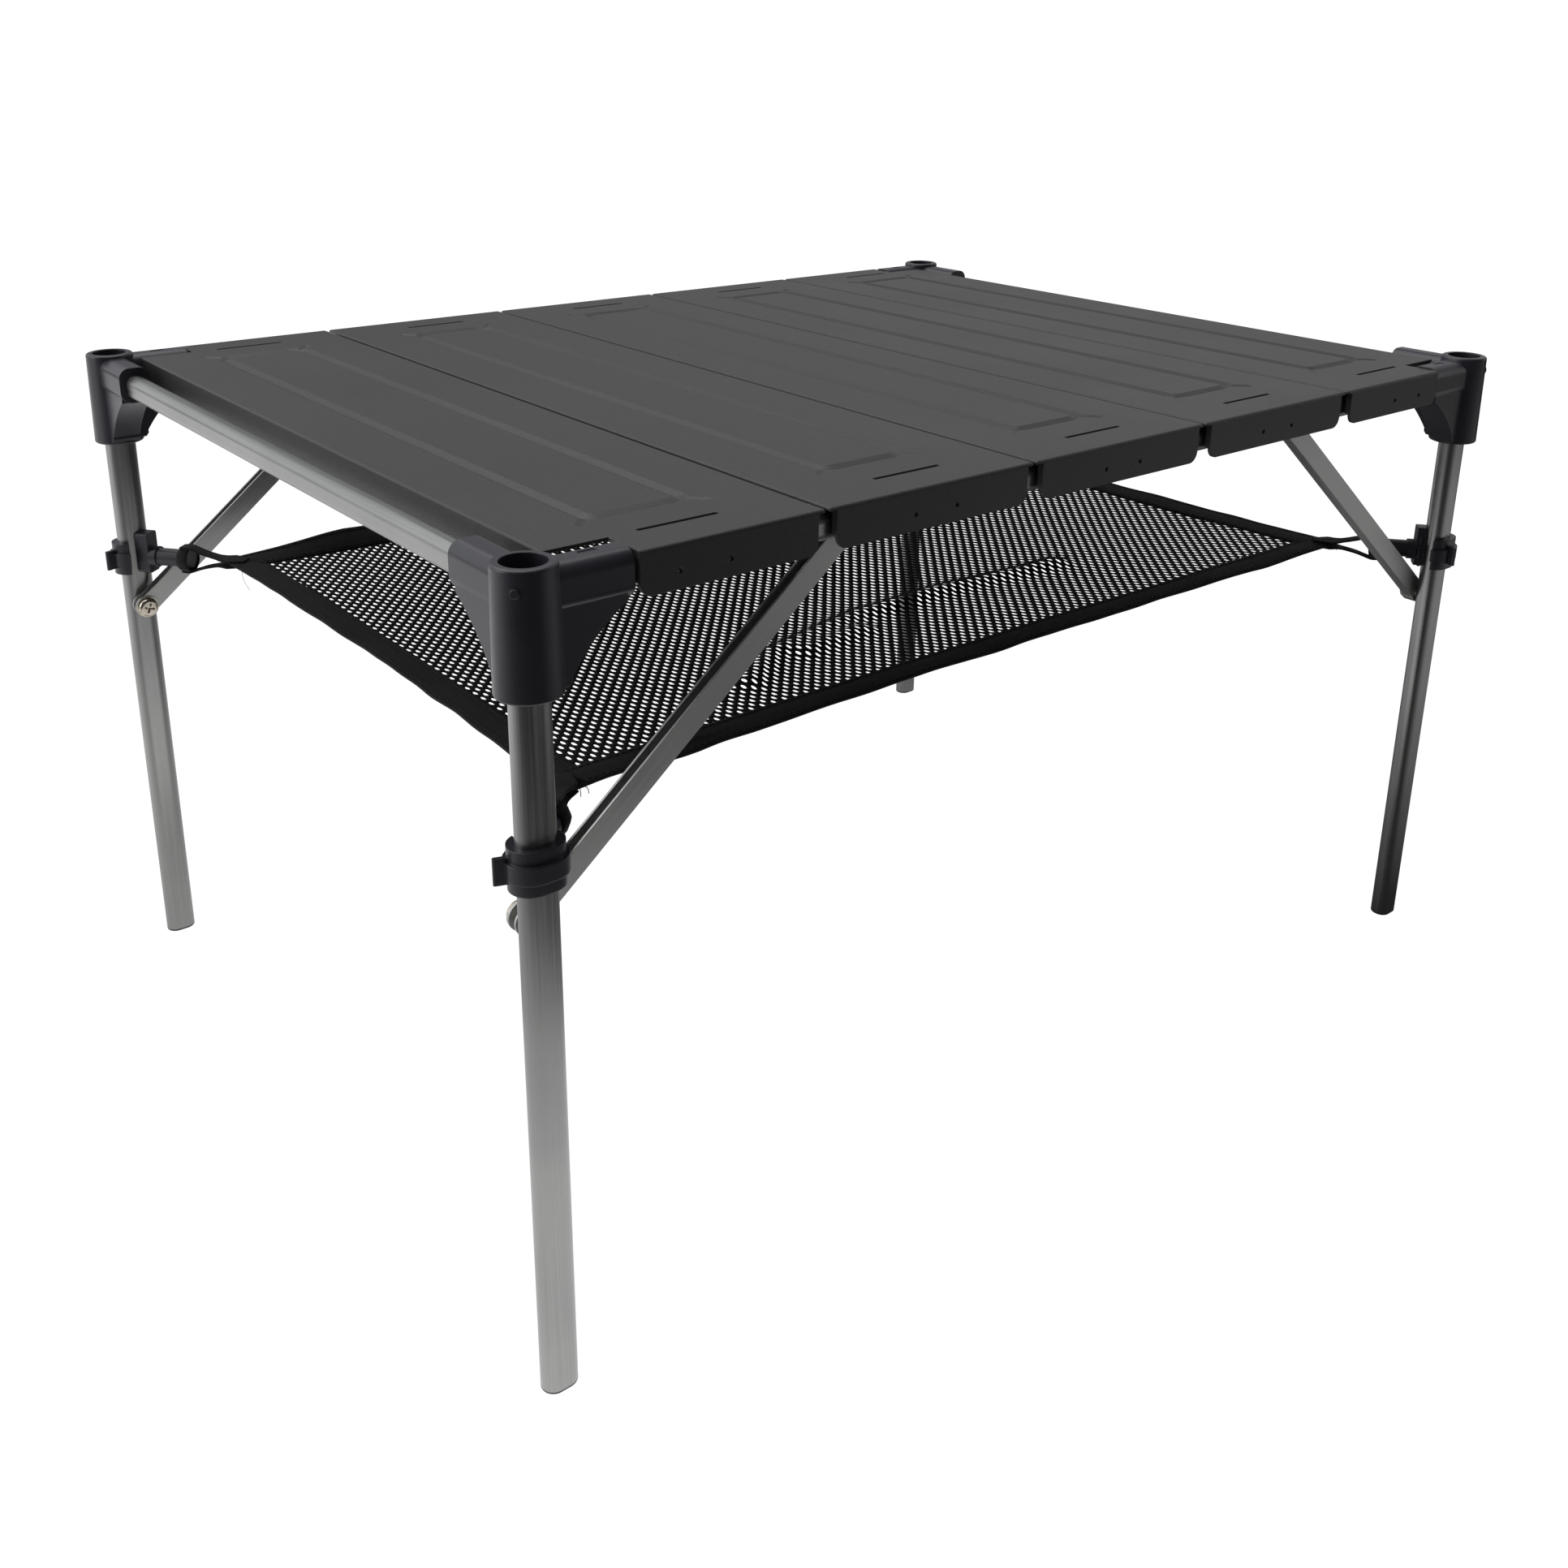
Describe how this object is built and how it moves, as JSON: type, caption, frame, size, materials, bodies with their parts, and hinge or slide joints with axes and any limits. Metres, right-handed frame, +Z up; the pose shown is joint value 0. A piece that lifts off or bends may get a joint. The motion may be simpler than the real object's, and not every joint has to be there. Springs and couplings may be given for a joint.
{
  "type": "camp kitchen table",
  "caption": "Low camp table with a slatted metal top on rails and moulded corner connectors, plug-in legs, folding braces and a mesh storage net slung beneath.",
  "frame": {"origin": "middle of the table at floor level", "axes": "+Z up, +X across the five slats from left to right, +Y towards the rear"},
  "size_m": [0.7127, 0.5318, 0.4],
  "materials": {
    "moulded_plastic": "satin moulded",
    "anodised_tube": "satin grey anodised",
    "powder_coat": "fine textured charcoal powder coat",
    "net_mesh": "black knitted mesh",
    "net_binding": "black woven binding",
    "plated_steel": "bright plated"
  },
  "bodies": {
    "frame": {"connector_front_left": "moulded_plastic", "connector_front_right": "moulded_plastic", "connector_rear_left": "moulded_plastic", "connector_rear_right": "moulded_plastic", "rail_front": "anodised_tube", "rail_rear": "anodised_tube", "rail_left": "anodised_tube", "rail_right": "anodised_tube", "storage_net": "net_mesh", "net_hem": "net_binding", "net_loop_front_left": "net_binding", "net_loop_front_right": "net_binding", "net_loop_rear_left": "net_binding", "net_loop_rear_right": "net_binding"},
    "top_slat_1": {"slat_1": "powder_coat"},
    "top_slat_2": {"slat_2": "powder_coat"},
    "top_slat_3": {"slat_3": "powder_coat"},
    "top_slat_4": {"slat_4": "powder_coat"},
    "top_slat_5": {"slat_5": "powder_coat"},
    "leg_unit_front_left": {"leg_front_left": "anodised_tube", "foot_plug_front_left": "moulded_plastic", "net_clip_front_left": "moulded_plastic", "pivot_screw_front_left": "plated_steel", "pivot_washers_front_left": "plated_steel"},
    "brace_arm_front_left": {"brace_front_left": "anodised_tube"},
    "leg_unit_front_right": {"leg_front_right": "anodised_tube", "foot_plug_front_right": "moulded_plastic", "net_clip_front_right": "moulded_plastic", "pivot_screw_front_right": "plated_steel", "pivot_washers_front_right": "plated_steel"},
    "brace_arm_front_right": {"brace_front_right": "anodised_tube"},
    "leg_unit_rear_left": {"leg_rear_left": "anodised_tube", "foot_plug_rear_left": "moulded_plastic", "net_clip_rear_left": "moulded_plastic", "pivot_screw_rear_left": "plated_steel", "pivot_washers_rear_left": "plated_steel"},
    "brace_arm_rear_left": {"brace_rear_left": "anodised_tube"},
    "leg_unit_rear_right": {"leg_rear_right": "anodised_tube", "foot_plug_rear_right": "moulded_plastic", "net_clip_rear_right": "moulded_plastic", "pivot_screw_rear_right": "plated_steel", "pivot_washers_rear_right": "plated_steel"},
    "brace_arm_rear_right": {"brace_rear_right": "anodised_tube"}
  },
  "joints": [
    {"name": "slat_1_lift", "type": "slide", "parent": "frame", "child": "top_slat_1", "axis": [0, 0, 1], "range_m": [0, 0.06]},
    {"name": "slat_2_lift", "type": "slide", "parent": "frame", "child": "top_slat_2", "axis": [0, 0, 1], "range_m": [0, 0.06]},
    {"name": "slat_3_lift", "type": "slide", "parent": "frame", "child": "top_slat_3", "axis": [0, 0, 1], "range_m": [0, 0.06]},
    {"name": "slat_4_lift", "type": "slide", "parent": "frame", "child": "top_slat_4", "axis": [0, 0, 1], "range_m": [0, 0.06]},
    {"name": "slat_5_lift", "type": "slide", "parent": "frame", "child": "top_slat_5", "axis": [0, 0, 1], "range_m": [0, 0.06]},
    {"name": "leg_front_left_pull", "type": "slide", "parent": "frame", "child": "leg_unit_front_left", "axis": [0, 0, -1], "range_m": [0, 0.045], "deforming": ["net_loop_front_left"]},
    {"name": "brace_front_left_fold", "type": "hinge", "parent": "leg_unit_front_left", "child": "brace_arm_front_left", "pos_m": [-0.34, -0.239, 0.239], "axis": [0, 1, 0], "range_deg": [0, 129]},
    {"name": "leg_front_right_pull", "type": "slide", "parent": "frame", "child": "leg_unit_front_right", "axis": [0, 0, -1], "range_m": [0, 0.045], "deforming": ["net_loop_front_right"]},
    {"name": "brace_front_right_fold", "type": "hinge", "parent": "leg_unit_front_right", "child": "brace_arm_front_right", "pos_m": [0.34, -0.239, 0.239], "axis": [0, -1, 0], "range_deg": [0, 129]},
    {"name": "leg_rear_left_pull", "type": "slide", "parent": "frame", "child": "leg_unit_rear_left", "axis": [0, 0, -1], "range_m": [0, 0.045], "deforming": ["net_loop_rear_left"]},
    {"name": "brace_rear_left_fold", "type": "hinge", "parent": "leg_unit_rear_left", "child": "brace_arm_rear_left", "pos_m": [-0.34, 0.239, 0.239], "axis": [0, 1, 0], "range_deg": [0, 129]},
    {"name": "leg_rear_right_pull", "type": "slide", "parent": "frame", "child": "leg_unit_rear_right", "axis": [0, 0, -1], "range_m": [0, 0.045], "deforming": ["net_loop_rear_right"]},
    {"name": "brace_rear_right_fold", "type": "hinge", "parent": "leg_unit_rear_right", "child": "brace_arm_rear_right", "pos_m": [0.34, 0.239, 0.239], "axis": [0, -1, 0], "range_deg": [0, 129]}
  ]
}
